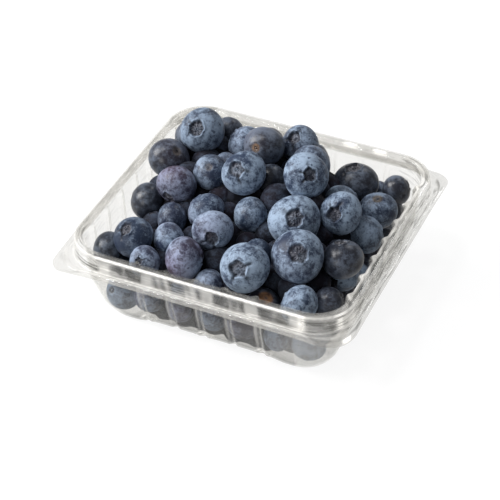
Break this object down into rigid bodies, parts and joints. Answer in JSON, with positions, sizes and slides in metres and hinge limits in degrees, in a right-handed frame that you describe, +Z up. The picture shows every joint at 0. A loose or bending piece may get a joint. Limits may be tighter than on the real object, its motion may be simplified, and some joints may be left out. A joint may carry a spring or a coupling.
{
  "type": "punnet of blueberries",
  "caption": "Open clear plastic punnet with fluted walls, a raised ledge and a cornered flange, heaped with fresh blueberries.",
  "frame": {"origin": "middle of the footprint, on the surface the corner feet stand on", "axes": "+X right along the front side, +Y towards the back side, +Z up"},
  "size_m": [0.1152, 0.1112, 0.0568],
  "materials": {
    "clear_plastic": "clear thin formed plastic sheet, glossy",
    "berry_skin": "dark blue fruit skin with a pale matt bloom"
  },
  "bodies": {
    "root": {"tray": "clear_plastic", "berries": "berry_skin"}
  },
  "joints": []
}
